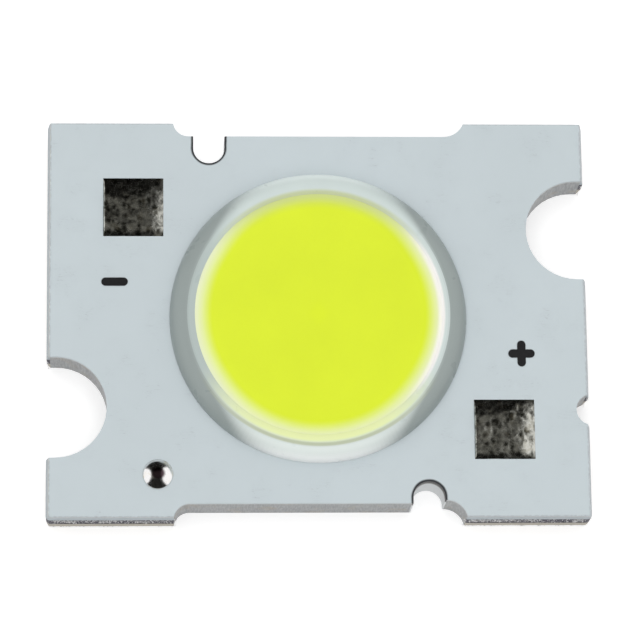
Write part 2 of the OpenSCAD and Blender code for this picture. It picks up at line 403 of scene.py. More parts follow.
def metal_finish(name, dull, bright, roughness):
    """Foil or wire: fine rolling lines and a little tarnish."""
    f = Finish(name, Metallic=1.0)
    vector = f.place()
    lines = f.noise(f.stretched(vector, (1.5, 16.0, 16.0)), 2.0, 3.0, 0.5)
    tarnish = f.noise(vector, 1.4, 4.0, 0.6)
    f.set(
        Base_Color=f.mix(f.ramp(tarnish, 0.3, 0.7), dull, bright),
        Roughness=roughness + 0.15 * lines,
    )
    f.bump(lines, 0.25, 0.002)
    return f.material


def mask_finish(board):
    """White mask: faint clouds, fine orange peel, hairlines and a patchy grey band along the edges.
    """
    f = Finish("mask", IOR=1.5)
    vector = f.place()
    x, y = f.parts(vector)[:2]
    half = CAD_HIGH / MM
    cloud = f.noise(vector, 0.22, 3.0, 0.55)
    blotch = f.noise(vector, 1.1, 4.0, 0.6)
    peel = f.noise(vector, 5.0, 3.0, 0.5)
    hair = f.noise(f.stretched(vector, (0.35, 3.0, 1.0)), 3.1, 2.0, 0.5, 1.2)
    hairline = f.ramp(abs(hair - 0.5), 0.0, 0.014, 1.0, 0.0) * f.ramp(blotch, 0.56, 0.64)
    white = tuple(board.mask_colour)
    base = f.mix(cloud, tinted(white, 0.955), tinted(white, 1.045))
    base = f.mix(f.ramp(blotch, 0.4, 0.7) * 0.5, base, tinted(white, 0.965))
    # A patchy grey band along the board's edges.
    side = f.larger(
        f.ramp(abs(x), half.x - 0.17, half.x - 0.1), f.ramp(abs(y), half.y - 0.09, half.y - 0.03)
    )
    edge_patches = f.ramp(f.noise(vector, 7.0, 4.0, 0.65), 0.35, 0.6)
    base = f.mix(side * edge_patches * 0.6, base, (0.36, 0.39, 0.41))
    base = f.mix(hairline * 0.4, base, (0.36, 0.39, 0.42))
    flaky = f.ramp(f.noise(vector, 5.0, 4.0, 0.7), 0.46, 0.54)
    worn = f.ramp(-x, half.x - 0.13, half.x - 0.05) * flaky
    base = f.mix(worn * 0.85, base, (0.90, 0.88, 0.72))
    # Nearly black in a thin band round the rims of the key notches.
    notch_rim_dark = f.ramp(beside_notches(f, x, y) + 0.06 * (blotch - 0.5), 0.04, 0.1, 1.0, 0.0)
    base = f.mix(notch_rim_dark * 0.97, base, (0.015, 0.014, 0.018))
    f.set(Base_Color=base, Roughness=0.36 + 0.12 * blotch)
    f.bump(peel + 0.4 * blotch - 0.3 * hairline, 0.25, 0.004)
    return f.material


def solder_finish(solder):
    """Tin: dull patches, bright ridges and a little brown flux."""
    f = Finish("solder", Metallic=1.0)
    vector = f.place()
    patch = f.noise(vector, 2.3, 5.0, 0.68, 0.6)
    grain = f.noise(vector, 11.0, 4.0, 0.7, 0.4)
    cells = f.cells(f.stretched(vector, (1.0, 0.7, 1.0)), 5.5)
    shine = f.ramp(patch * 0.6 + grain * 0.25 + cells * 0.25, 0.42, 0.66)
    base = f.mix(shine, tuple(solder.dark), tuple(solder.bright))
    flux = f.ramp(f.noise(vector, 3.4, 3.0, 0.6), 0.5, 0.72)
    base = f.mix(flux * 0.3, base, (0.30, 0.26, 0.17))
    f.set(Base_Color=base, Roughness=f.ramp(patch, 0.3, 0.7, 0.34, 0.12))
    f.bump(grain + cells * 0.6, 0.3, 0.006)
    return f.material


def dome_finish(middle, radius):
    """Bright reflowed tin of the test point, with a painted dark reflection round its middle."""
    f = Finish("bright_solder", Metallic=1.0)
    vector = f.place()
    x, y = f.parts(vector)[:2]
    patch = f.noise(vector, 2.0, 3.0, 0.6)
    base = f.mix(f.ramp(patch, 0.45, 0.7), (0.95, 0.94, 0.93), (0.80, 0.68, 0.46))
    across = (x - middle.x / MM) / (radius / MM)
    along = (y - middle.y / MM) / (radius / MM)
    # Painted reflection: nearly black round the middle, bright tin further out.
    apart = (across * across + along * along) ** 0.5 + 0.25 * (patch - 0.5)
    base = f.mix(f.ramp(apart, 0.3, 0.52, 1.0, 0.0), base, (0.09, 0.06, 0.07))
    f.set(Base_Color=base, Roughness=0.15 + 0.1 * patch)
    f.bump(f.noise(vector, 5.0, 3.0, 0.5), 0.12, 0.006)
    return f.material


def silicone_finish(light, middle_r):
    """Milky silicone, with painted highlights at the front, the rear and the right, and painted
    shade on the grey flanks at the sides.
    """
    f = Finish(
        "silicone",
        IOR=1.41,
        Subsurface_Weight=0.2,
        Subsurface_Scale=0.0003,
        Subsurface_Radius=(1.0, 1.0, 1.0),
    )
    vector = f.place()
    x, y = f.parts(vector)[:2]
    nx, ny = f.facing()[:2]
    milk = tuple(light.silicone)
    reach = (x * x + y * y) ** 0.5
    cloud = f.noise(vector, 1.3, 3.0, 0.5)
    base = f.mix(cloud, tinted(milk, 0.97), tinted(milk, 1.03))
    # Painted highlights: the outer slopes at the front and the rear are painted white. Painted
    # shade: the left inner slope is painted greyer.
    outside = f.ramp((nx * x + ny * y) / reach, 0.0, 0.1)
    base = f.mix(f.ramp(-ny, 0.1, 0.5) * outside * 0.8, base, (0.86, 0.92, 0.89))
    base = f.mix(f.ramp(-ny, 0.6, 0.98) * outside, base, (0.97, 1.0, 0.99))
    base = f.mix(f.ramp(ny, 0.4, 0.95) * outside * 0.8, base, (0.85, 0.93, 0.91))
    base = f.mix(f.ramp(-x / reach, 0.55, 0.95) * 0.75, base, (0.42, 0.49, 0.47))
    # Painted shade: the outward slopes at the sides are painted grey, the band narrowing towards the
    # front and the rear.
    narrowing = 0.3 * f.ramp(abs(y) / reach, 0.5, 1.0)
    clear = f.ramp(nx * x / reach, 0.01, 0.16 + narrowing)
    base = f.mix(clear, base, tuple(light.flank_shade))
    # Yellow from the fill shows through the crest: darkened to olive at the rear as painted shade,
    # paler at the front, partly its own colour and partly painted light, with a painted shade line
    # just outside it at the front.
    middle = middle_r / MM
    front = f.ramp(-y / reach, 0.4, 0.95)
    rear = f.ramp(y / reach, 0.5, 0.97)
    rear = rear * f.ramp(reach, middle - 0.12, middle + 0.03, 0.8, 0.0)
    base = f.mix(rear, base, (0.56, 0.62, 0.30))
    crest = f.ramp(reach, middle - 0.02, middle + 0.14, 1.0, 0.0)
    base = f.mix(front * crest, base, (0.84, 0.92, 0.46))
    line = f.ramp(abs(reach - (middle + 0.14)), 0.02, 0.09, 0.75, 0.0)
    base = f.mix(front * line, base, (0.48, 0.52, 0.32))
    # A painted highlight on the right, where the fill meets the dam.
    right_highlight = f.ramp(reach, middle - 0.15, middle - 0.06, 1.0, 0.0) * f.ramp(x / reach, 0.7, 0.95)
    base = f.mix(right_highlight, base, (1.0, 0.98, 0.94))
    f.set(Base_Color=base, Roughness=0.24 + 0.1 * cloud)
    f.bump(cloud + 0.2 * f.noise(vector, 6.0, 2.0, 0.5), 0.15, 0.01)
    return f.material


def phosphor_finish(light, rim):
    """Phosphor in silicone: paler where it thins out over the dam, with fine grains, painted shade
    at the rear rim and a painted highlight on the right.
    """
    f = Finish(
        "phosphor",
        IOR=1.41,
        Subsurface_Weight=0.15,
        Subsurface_Scale=0.0002,
        Subsurface_Radius=(1.0, 1.0, 0.3),
    )
    vector = f.place()
    x, y = f.parts(vector)[:2]
    reach = (x * x + y * y) ** 0.5 / (rim / MM)
    cloud = f.noise(vector, 0.5, 3.0, 0.5)
    grain = f.noise(vector, 24.0, 3.0, 0.7)
    yellow = tuple(light.phosphor)
    base = f.mix(cloud, tinted(yellow, 0.95), tinted(yellow, 1.04))
    base = f.mix(f.ramp(grain, 0.45, 0.7) * 0.15, base, tinted(yellow, 0.88))
    front = f.ramp(-y, 1.8, 4.0)
    behind = f.ramp(y, 1.8, 4.0)
    thin = f.ramp(reach - 0.03 * front - 0.06 * behind, 0.85, 1.0)
    base = f.mix(thin, base, tuple(light.fringe))
    # Painted shade: olive at the rear of the rim.
    base = f.mix(f.ramp(reach, 0.86, 1.0) * behind * 0.75, base, (0.58, 0.66, 0.24))
    # A painted highlight on the right of the rim.
    right_highlight = f.ramp(reach, 0.945, 0.985) * f.ramp(x, 2.6, 3.9)
    base = f.mix(right_highlight, base, (1.0, 0.98, 0.88))
    f.set(Base_Color=base, Roughness=0.3 + 0.12 * cloud)
    f.bump(cloud + 0.15 * grain, 0.12, 0.012)
    return f.material


def die_finish():
    """Blue-grey sapphire with darker mesa lines."""
    f = Finish("die", IOR=1.76, Roughness=0.12)
    vector = f.place()
    cell = f.cells(vector, 2.1)
    f.set(
        Base_Color=f.mix(f.ramp(cell, 0.1, 0.6), (0.42, 0.58, 0.70), (0.62, 0.74, 0.80)),
        Metallic=0.2 * f.noise(vector, 3.0),
    )
    return f.material


def ink_finish():
    """Black printed ink with a fine screen texture."""
    f = Finish("ink", IOR=1.5)
    vector = f.place()
    mesh = f.noise(vector, 14.0, 3.0, 0.6)
    f.set(
        Base_Color=f.mix(mesh, (0.004, 0.004, 0.005), (0.014, 0.014, 0.016)),
        Roughness=0.5 + 0.2 * mesh,
    )
    f.bump(mesh, 0.4, 0.004)
    return f.material


# ---- Meshes ----


def placed(name, data):
    """A new object in the scene."""
    thing = bpy.data.objects.new(name, data)
    bpy.context.scene.collection.objects.link(thing)
    return thing


def make_piece(name, mesh, material, slot, *nodes):
    """Puts a mesh into the scene as a piece that rides on the board and stands for CAD nodes."""
    piece = placed(name, mesh)
    mesh.materials.clear()
    mesh.materials.append(material)
    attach(piece, "root")
    if nodes:
        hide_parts(*nodes)
    return piece


def paint(node, material):
    """Gives a CAD node its finish."""
    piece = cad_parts[node]
    piece.data.materials.clear()
    piece.data.materials.append(material)
    for polygon in piece.data.polygons:
        polygon.material_index = 0


def merged_copy(node):
    """A copy of a CAD node's mesh with its triangles joined into flat faces."""
    shape = bmesh.new()
    shape.from_mesh(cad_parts[node].data)
    bmesh.ops.remove_doubles(shape, verts=shape.verts, dist=SAME)
    bmesh.ops.dissolve_limit(
        shape,
        angle_limit=math.radians(0.6),
        verts=shape.verts,
        edges=shape.edges,
    )
    return shape


def smooth(mesh, sharp_degrees):
    """Smooths a mesh but keeps its edges sharp where faces turn by more than an angle."""
    mesh.polygons.foreach_set("use_smooth", [True] * len(mesh.polygons))
    mesh.set_sharp_from_angle(angle=math.radians(sharp_degrees))


def to_mesh(shape, name, sharp_degrees=30.0):
    """A smooth mesh made of a shape."""
    mesh = bpy.data.meshes.new(name)
    shape.to_mesh(mesh)
    shape.free()
    smooth(mesh, sharp_degrees)
    return mesh


def web_faces(shape):
    """The flat torn-web faces: upright and exactly at the board's outer limits."""
    limit = (CAD_HIGH.x, CAD_HIGH.y)
    shortest = 0.2 * MM
    found = []
    for face in shape.faces:
        for axis in (0, 1):
            along = [v.co[1 - axis] for v in face.verts]
            flat = all(abs(abs(v.co[axis]) - limit[axis]) < SAME for v in face.verts)
            if flat and len(along) == 4 and max(along) - min(along) > shortest:
                found.append((face, axis))
    return found


def torn_depth(point, depth):
    """How far the web is broken out at a point of its face, from 0 to depth."""
    bites, grains = 2600.0, 14000.0  # How many fit in a metre
    coarse = noise.fractal(point * bites, 0.9, 2.1, 4)
    fine = noise.noise(point * grains)
    return depth * min(1.0, max(0.0, 0.42 + 0.55 * coarse + 0.3 * fine))


def tear_web(shape, face, axis, board):
    """Breaks out a flat web face; returns its middle line, its axis and its outward sign."""
    along = 1 - axis
    corners = sorted((v.co.copy() for v in face.verts), key=lambda co: co.z)
    lower = sorted(corners[:2], key=lambda co: co[along])
    upper = sorted(corners[2:], key=lambda co: co[along])
    low, high = lower[0].z, upper[0].z
    columns = max(2, round((lower[1][along] - lower[0][along]) / board.web_step))
    rows = max(2, round((high - low) / board.web_step))
    outward = math.copysign(1.0, corners[0][axis])
    rim = list(face.edges)
    flips = face.normal.cross(Vector((0, 0, 1)))[along] < 0
    bmesh.ops.delete(shape, geom=[face], context="FACES_ONLY")
    steepest = 0.1 * MM  # How far the long edges may rise from end to end
    level = [e for e in rim if abs(e.verts[0].co.z - e.verts[1].co.z) < steepest]
    upright = [e for e in rim if e not in level]
    bmesh.ops.subdivide_edges(shape, edges=level, cuts=columns - 1)
    bmesh.ops.subdivide_edges(shape, edges=upright, cuts=rows - 1)
    faded_columns, sways, strayed = 4, 9000.0, 0.3

    def point(column, row):
        ends = [lower[i].lerp(upper[i], row / rows) for i in (0, 1)]
        at = ends[0].lerp(ends[1], column / columns)
        if 0 < column < columns and 0 < row < rows:
            fade = min(1.0, min(column, columns - column) / faded_columns)
            jitter = noise.noise_vector(at * sways) * board.web_step * strayed
            at[axis] -= outward * torn_depth(at, board.web_depth) * fade
            at[along] += jitter.x * fade
            at.z += jitter.y
        return at

    grid = [[shape.verts.new(point(c, r)) for r in range(rows + 1)] for c in range(columns + 1)]
    for c in range(columns):
        for r in range(rows):
            ring = [grid[c][r], grid[c + 1][r], grid[c + 1][r + 1], grid[c][r + 1]]
            shape.faces.new(ring[::-1] if flips else ring)
    line = [lower[i].lerp(upper[i], 0.5) for i in (0, 1)]
    return line, axis, outward


def torn_core(board):
    """The aluminium core with its snapped edges broken out, and the middle lines of its webs."""
    shape = merged_copy("aluminium_core")
    lines = [tear_web(shape, face, axis, board) for face, axis in web_faces(shape)]
    bmesh.ops.remove_doubles(shape, verts=shape.verts, dist=2 * SAME)
    bmesh.ops.recalc_face_normals(shape, faces=shape.faces)
    return to_mesh(shape, "torn_core", 24.0), lines


def tooth_paths(lines):
    """Paths for the teeth: the middle of each web, and the board's back edge below it."""
    back_edge = 0.03 * MM
    points, edges, outwards, weights = [], [], [], []
    for line, axis, outward in lines:
        direction = Vector((0, 0, 0))
        direction[axis] = outward
        for level, weight in ((line[0].z, 1.0), (back_edge, 0.25)):
            for at in line:
                points.append((at.x, at.y, level))
                outwards.append(direction)
                weights.append(weight)
            edges.append((len(points) - 2, len(points) - 1))
    paths = bpy.data.meshes.new("tooth_paths")
    paths.from_pydata(points, edges, [])
    paths.attributes.new("outward", "FLOAT_VECTOR", "POINT")
    paths.attributes.new("weight", "FLOAT", "POINT")
    for index, (direction, weight) in enumerate(zip(outwards, weights)):
        paths.attributes["outward"].data[index].vector = direction
        paths.attributes["weight"].data[index].value = weight
    return paths


def close_below(shape, level):
    """Drops the open border straight down to a level and closes the underside."""
    border = [e for e in shape.edges if e.is_boundary]
    dropped = bmesh.ops.extrude_edge_only(shape, edges=border)["geom"]
    for vertex in (g for g in dropped if isinstance(g, bmesh.types.BMVert)):
        vertex.co.z = level
    edges = [e for e in shape.edges if e.is_boundary]
    bmesh.ops.edgeloop_fill(shape, edges=edges)
    bmesh.ops.recalc_face_normals(shape, faces=shape.faces)


def skin(shape, top, circles):
    """Faces from a top point down through circles of equally many points."""
    count = len(circles[0])
    for spoke in range(count):
        after = (spoke + 1) % count
        shape.faces.new((top, circles[0][spoke], circles[0][after]))
        for near, far in zip(circles, circles[1:]):
            shape.faces.new((near[spoke], far[spoke], far[after], near[after]))


def dam_section():
    """Width and height of the dam's section, and the radius of its round top."""
    low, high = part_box("silicone_dam")
    foot = [
        math.hypot(v.co.x, v.co.y)
        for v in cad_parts["silicone_dam"].data.vertices
        if v.co.z < low.z + SAME
    ]
    width, rise = max(foot) - min(foot), high.z - low.z
    return width, rise, ((width / 2) ** 2 + rise**2) / (2 * rise)


def gel_section(light):
    """The fill's section from its middle outwards and down the dam's slope, and its rim."""
    low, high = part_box("phosphor_fill")
    dam_low, dam_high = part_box("silicone_dam")
    width, _, bead = dam_section()
    below_crest, overlap, hollow = 0.02 * MM, 0.02 * MM, 0.22 * MM
    middle_r = dam_high.x - width / 2
    rim_z = dam_high.z - below_crest
    rim = middle_r - math.sqrt(bead**2 - (rim_z - (dam_high.z - bead)) ** 2)
    section, steps = [], 40
    for step in range(steps + 1):
        reach = (rim + overlap) * step / steps
        dip = light.meniscus * math.exp(-(((rim - reach) / hollow) ** 2))
        z = rim_z + (high.z - rim_z) * (1 - (reach / rim) ** 2) - dip * 0.5
        section.append((reach, min(z, high.z)))
    # Down inside the dam's slope to the mask, and on to the light area's floor.
    inner = middle_r - bead * 0.97
    section.append((middle_r - overlap, rim_z - 0.09 * MM))
    section.append((inner + 0.05 * MM, dam_low.z + 0.02 * MM))
    section.append((inner - 0.05 * MM, low.z))
    return section, rim


# ---- Geometry Nodes ----


class Rig(Nodes):
    """A geometry node tree with named inputs, besides its geometry and its material."""

    def __init__(self, name, inputs):
        super().__init__(bpy.data.node_groups.new(name, "GeometryNodeTree"))
        self.keys = {}
        for kind, labels in {"Geometry": ["Geometry"], **inputs, "Material": ["Material"]}.items():
            for label in labels:
                self.keys[label] = self.opening(label, kind, "INPUT")
        self.opening("Geometry", "Geometry", "OUTPUT")

    def opening(self, label, kind, side):
        """Gives the tree an input or an output and returns its key."""
        made = self.tree.interface.new_socket(label, in_out=side, socket_type="NodeSocket" + kind)
        return made.identifier

    def given(self, label):
        """An input of the tree."""
        return self.node("NodeGroupInput", output=label)

    def attribute(self, name, kind):
        return self.node("GeometryNodeInputNamedAttribute", {"data_type": kind}, {"Name": name})

    def joined(self, x=0.0, y=0.0, z=0.0):
        return self.node("ShaderNodeCombineXYZ", inputs={"X": x, "Y": y, "Z": z})

    def random(self, low, high, seed, kind="FLOAT"):
        """A random value for each point, or a vector with kind FLOAT_VECTOR."""
        slots = {"FLOAT": (2, 3, 1), "FLOAT_VECTOR": (0, 1, 0)}[kind]
        return self.node(
            "FunctionNodeRandomValue",
            {"data_type": kind},
            {slots[0]: low, slots[1]: high, "Seed": seed},
            output=slots[2],
        )

    def finish(self, geometry):
        """Ends the tree in plain geometry with its material."""
        real = self.node("GeometryNodeRealizeInstances", inputs={0: geometry})
        done = self.node(
            "GeometryNodeSetMaterial",
            inputs={"Geometry": real, "Material": self.given("Material")},
        )
        self.node("NodeGroupOutput", inputs={0: done})

    def grow(self, name, mesh, values):
        """Runs the tree on a mesh and returns the result as a plain mesh."""
        seedling = placed(name + "_path", mesh)
        modifier = seedling.modifiers.new("rig", "NODES")
        modifier.node_group = self.tree
        for label, value in values.items():
            modifier[self.keys[label]] = value
        bpy.context.view_layer.update()
        graph = bpy.context.evaluated_depsgraph_get()
        grown = bpy.data.meshes.new_from_object(seedling.evaluated_get(graph))
        grown.name = name
        seedling.modifiers.remove(modifier)
        bpy.data.objects.remove(seedling)
        return grown


def tooth_rig():
    """Teeth of torn metal scattered along paths, all kept inside the board's limits."""
    rig = Rig(
        "torn_teeth",
        {"Float": ["Spacing", "Size", "Rise"], "Vector": ["Low", "High"], "Int": ["Seed"]},
    )
    curve = rig.node("GeometryNodeMeshToCurve", inputs={0: rig.given("Geometry")})
    points = rig.node(
        "GeometryNodeCurveToPoints",
        {"mode": "LENGTH"},
        {"Curve": curve, "Length": rig.given("Spacing")},
    )
    many = rig.node(
        "GeometryNodeDuplicateElements",
        {"domain": "POINT"},
        {"Geometry": points, "Amount": 4},
    )
    seed = rig.given("Seed")
    size = rig.given("Size")
    outward = rig.attribute("outward", "FLOAT_VECTOR")
    weight = rig.attribute("weight", "FLOAT")
    lift = rig.random(-1.0, 1.0, seed) * weight * rig.given("Rise")
    slide = rig.random((-1.0, -1.0, 0.0), (1.0, 1.0, 0.0), seed + 5, "FLOAT_VECTOR")
    crosswise = rig.vector("CROSS_PRODUCT", outward, (0.0, 0.0, 1.0))
    slide = rig.scaled(rig.vector("MULTIPLY", slide, crosswise), rig.given("Spacing"))
    inward = rig.scaled(outward, size * rig.random(-1.3, -0.55, seed + 9))
    offset = rig.vector("ADD", rig.vector("ADD", slide, inward), rig.joined(z=lift))
    moved = rig.node("GeometryNodeSetPosition", inputs={"Geometry": many, "Offset": offset})
    tooth = rig.node(
        "GeometryNodeMeshCone",
        {"fill_type": "NGON"},
        {"Vertices": 5, "Radius Top": 0.12, "Radius Bottom": 0.5, "Depth": 1.1},
    )
    turn = rig.node("FunctionNodeAlignRotationToVector", {"axis": "Z"}, {"Vector": outward})
    tilt = rig.random((-0.7, -0.7, -3.1), (0.7, 0.7, 3.1), seed + 13, "FLOAT_VECTOR")
    tilt = rig.node("FunctionNodeEulerToRotation", inputs={0: tilt})
    turn = rig.node("FunctionNodeRotateRotation", {"rotation_space": "LOCAL"}, {0: turn, 1: tilt})
    spread = rig.random((0.5, 0.8, 0.6), (1.2, 2.2, 1.3), seed + 21, "FLOAT_VECTOR")
    scale = rig.scaled(spread, size * (0.35 + weight * 0.65))
    teeth = rig.node(
        "GeometryNodeInstanceOnPoints",
        inputs={"Points": moved, "Instance": tooth, "Rotation": turn, "Scale": scale},
    )
    real = rig.node("GeometryNodeRealizeInstances", inputs={0: teeth})
    here = rig.node("GeometryNodeInputPosition")
    kept = rig.vector("MAXIMUM", rig.vector("MINIMUM", here, rig.given("High")), rig.given("Low"))
    rig.finish(rig.node("GeometryNodeSetPosition", inputs={"Geometry": real, "Position": kept}))
    return rig


def dam_rig():
    """A bead of silicone swept round a slightly uneven circle, cut flat at its foot."""
    lengths = ["Radius", "Bead Radius", "Bead Rise", "Foot", "Wobble"]
    rig = Rig("dispensed_dam", {"Float": [*lengths, "Seed"], "Int": ["Segments"]})
    path = rig.node(
        "GeometryNodeCurvePrimitiveCircle",
        inputs={"Resolution": rig.given("Segments"), "Radius": rig.given("Radius")},
    )
    here = rig.node("GeometryNodeInputPosition")
    uneven = rig.node(
        "ShaderNodeTexNoise",
        {"noise_dimensions": "4D"},
        {"Vector": here, "W": rig.given("Seed"), "Scale": 420.0, "Detail": 1.0},
    )
    away = rig.scaled(rig.vector("NORMALIZE", here), (uneven - 0.5) * rig.given("Wobble"))
    path = rig.node("GeometryNodeSetPosition", inputs={"Geometry": path, "Offset": away})
    lift = rig.joined(z=rig.given("Foot"))
    path = rig.node("GeometryNodeSetPosition", inputs={"Geometry": path, "Offset": lift})
    path = rig.node("GeometryNodeSetCurveNormal", {"mode": "Z_UP"}, {"Curve": path})
    profile = rig.node(
        "GeometryNodeCurvePrimitiveCircle",
        inputs={"Resolution": 64, "Radius": rig.given("Bead Radius")},
    )
    x, y = rig.parts(here)[:2]
    # A profile's y points down once it is swept along a level path.
    height = rig.larger(y + rig.given("Bead Rise"), 0.0)
    cut_flat = {"Geometry": profile, "Position": rig.joined(x=x, y=-height)}
    profile = rig.node("GeometryNodeSetPosition", inputs=cut_flat)
    bead = rig.node("GeometryNodeCurveToMesh", inputs={"Curve": path, "Profile Curve": profile})
    rig.finish(rig.node("GeometryNodeFlipFaces", inputs={0: bead}))
    return rig


# ---- Operators ----


class Step(bpy.types.Operator):
    """One step in making the part; each has its own make()."""

    bl_options = {"REGISTER"}

    def execute(self, context):
        self.make(context.scene.cob_led)
        return {"FINISHED"}


class CobLedCore(Step):
    """Makes the aluminium core with its torn edges and their teeth"""

    bl_idname = "cob_led.core"
    bl_label = "Aluminium core"

    def make(self, settings):
        board = settings.board
        mesh, lines = torn_core(board)
        if not lines:
            raise RuntimeError("the core has no snapped edge to tear")
        make_piece("torn_core", mesh, aluminium_finish(board), "aluminium", "aluminium_core")
        low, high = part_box("aluminium_core")
        teeth = tooth_rig().grow(
            "torn_teeth",
            tooth_paths(lines),
            {
                "Spacing": board.tooth_spacing,
                "Size": board.tooth_size,
                "Rise": board.tooth_rise,
                "Low": tuple(low),
                "High": tuple(high),
                "Seed": board.tooth_seed,
                "Material": torn_finish(),
            },
        )
        make_piece("torn_teeth", teeth, teeth.materials[0], "aluminium")


class CobLedMask(Step):
    """Makes the white mask with rounded edges and finishes the insulating layer"""

    bl_idname = "cob_led.mask"
    bl_label = "Mask"

    def make(self, settings):
        mesh = to_mesh(merged_copy("solder_mask"), "mask_sheet")
        piece = make_piece("mask_sheet", mesh, mask_finish(settings.board), "mask", "solder_mask")
        bevel = piece.modifiers.new("rounded edges", "BEVEL")
        bevel.width = settings.board.mask_bevel
        bevel.segments = 2
        bevel.limit_method = "ANGLE"
        bevel.angle_limit = math.radians(40)
        bevel.use_clamp_overlap = True
        bevel.harden_normals = True
        paint("dielectric_layer", dielectric_finish())


class CobLedCircuit(Step):
    """Finishes the copper circuit and its silvered die land"""

    bl_idname = "cob_led.circuit"
    bl_label = "Circuit"

    def make(self, settings):
        copper = metal_finish("copper", (0.50, 0.24, 0.12), (0.80, 0.45, 0.27), 0.25)
        for node in ("cathode_copper", "anode_copper", "test_point_land"):
            paint(node, copper)
        paint(
            "die_land",
            metal_finish("silvered_copper", (0.60, 0.58, 0.52), (0.88, 0.88, 0.86), 0.12),
        )


class CobLedSolderPoints(Step):
    """Makes the tinned pads and the dome of the test point"""

    bl_idname = "cob_led.solder"
    bl_label = "Solder"

    def make(self, settings):
        solder = settings.solder
        tin = solder_finish(solder)
        for name, node, offset in (
            ("minus_pad_tin", "cathode_solder", 0.0),
            ("plus_pad_tin", "anode_solder", 31.0),
        ):
            make_piece(name, self.pad(name, node, solder, offset), tin, "solder", node)
        low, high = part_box("test_point_solder")
        bright = dome_finish((low + high) / 2, (high.x - low.x) / 2)
        dome = self.dome("test_dome", "test_point_solder")
        make_piece("test_dome", dome, bright, "solder", "test_point_solder")

    @staticmethod
    def pad(name, node, solder, offset):
        """A tinned pad: a cushion with round shoulders and an uneven top; offset picks its lumps."""
        low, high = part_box(node)
        sheet_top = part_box("solder_mask")[1].z
        steps, crown = 88, 0.9
        # How wide each shoulder is beside the widest: left, right, front, rear.
        shares = (0.08, 1.0, 0.45, 1.0)
        rise = high.z - sheet_top
        shape = bmesh.new()
        grid = []
        for i in range(steps + 1):
            row = []
            for j in range(steps + 1):
                x = low.x + (high.x - low.x) * i / steps
                y = low.y + (high.y - low.y) * j / steps
                gaps = (x - low.x, high.x - x, y - low.y, high.y - y)
                cushion = math.prod(
                    1 - (1 - min(1.0, gap / (share * solder.shoulder))) ** 2
                    for gap, share in zip(gaps, shares)
                )
                spot = Vector((x / MM + offset, y / MM, 0))
                lumps = noise.fractal(spot * 1.7, 1.1, 2.2, 4)
                uneven = solder.lump * lumps * min(1.0, cushion * 2)
                z = sheet_top + rise * cushion * crown + uneven
                row.append(shape.verts.new((x, y, min(z, high.z + solder.lump))))
            grid.append(row)
        for i in range(steps):
            for j in range(steps):
                near, far = grid[i], grid[i + 1]
                shape.faces.new((near[j], far[j], far[j + 1], near[j + 1]))
        close_below(shape, low.z)
        return to_mesh(shape, name, 60.0)

    @staticmethod
    def dome(name, node):
        """A drop of reflowed tin."""
        low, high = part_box(node)
        sheet_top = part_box("solder_mask")[1].z
        middle = (low + high) / 2
        radius = (high.x - low.x) / 2
        rise = high.z - sheet_top
        cap = (radius**2 + rise**2) / (2 * rise)
        rings, spokes, dented = 20, 72, 0.006 * MM
        shape = bmesh.new()
        top = shape.verts.new((middle.x, middle.y, high.z))
        circles = []
        for ring in range(1, rings + 1):
            reach = radius * ring / rings
            circle = []
            for spoke in range(spokes):
                angle = 2 * math.pi * spoke / spokes
                x = middle.x + reach * math.cos(angle)
                y = middle.y + reach * math.sin(angle)
                z = high.z - cap + math.sqrt(cap**2 - reach**2)
                dent = noise.noise(Vector((x, y, 0)) * 3500) * dented
                z += dent * math.sin(math.pi * ring / rings)
                circle.append(shape.verts.new((x, y, min(z, high.z))))
            circles.append(circle)
        skin(shape, top, circles)
        close_below(shape, low.z)
        return to_mesh(shape, name, 60.0)


class CobLedDam(Step):
    """Makes the dispensed silicone dam"""

    bl_idname = "cob_led.dam"
    bl_label = "Dam"

    def make(self, settings):
        light = settings.light
        low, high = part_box("silicone_dam")
        width, rise, bead = dam_section()
        sunk = 0.01 * MM
        seedling = bpy.data.meshes.new("dam_path")
        mesh = dam_rig().grow(
            "dam_bead",
            seedling,
            {
                "Radius": high.x - width / 2,
                "Bead Radius": bead,
                "Bead Rise": rise - bead + sunk,
                "Foot": low.z - sunk,
                "Wobble": light.wobble,
                "Segments": light.dam_segments,
                "Seed": float(light.dam_seed),
                "Material": silicone_finish(light, high.x - width / 2),
            },
        )
        smooth(mesh, 50.0)
        make_piece("dam_bead", mesh, mesh.materials[0], "silicone", "silicone_dam")


class CobLedFill(Step):
    """Makes the smooth phosphor fill with its meniscus"""

    bl_idname = "cob_led.fill"
    bl_label = "Phosphor"

    def make(self, settings):
        light = settings.light
        section, rim = gel_section(light)
        spokes = 160
        turns = [2 * math.pi * spoke / spokes for spoke in range(spokes)]
        shape = bmesh.new()
        top = shape.verts.new((0, 0, section[0][1]))
        circles = [
            [shape.verts.new((reach * math.cos(turn), reach * math.sin(turn), z)) for turn in turns]
            for reach, z in section[1:]
        ]
        skin(shape, top, circles)
        shape.faces.new(circles[-1][::-1])
        bmesh.ops.recalc_face_normals(shape, faces=shape.faces)
        mesh = to_mesh(shape, "phosphor_gel", 50.0)
        make_piece("phosphor_gel", mesh, phosphor_finish(light, rim), "phosphor", "phosphor_fill")


class CobLedDies(Step):
    """Finishes the dies and their gold wires"""

    bl_idname = "cob_led.dies"
    bl_label = "Dies and wires"

    def make(self, settings):
        die = die_finish()
        gold = metal_finish("gold", (0.80, 0.55, 0.20), (0.98, 0.78, 0.34), 0.1)
        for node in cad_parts:
            if node.startswith("led_die_"):
                paint(node, die)
            elif node.startswith("bond_wires_"):
                paint(node, gold)


class CobLedMarks(Step):
    """Finishes the printed polarity marks"""

    bl_idname = "cob_led.marks"
    bl_label = "Polarity marks"

    def make(self, settings):
        ink = ink_finish()
        paint("minus_mark", ink)
        paint("plus_mark", ink)


def sheet_of(name, points, faces):
    """A sheet of the stage."""
    mesh = bpy.data.meshes.new(name)
    mesh.from_pydata(points, [], faces)
    return placed(name, mesh)


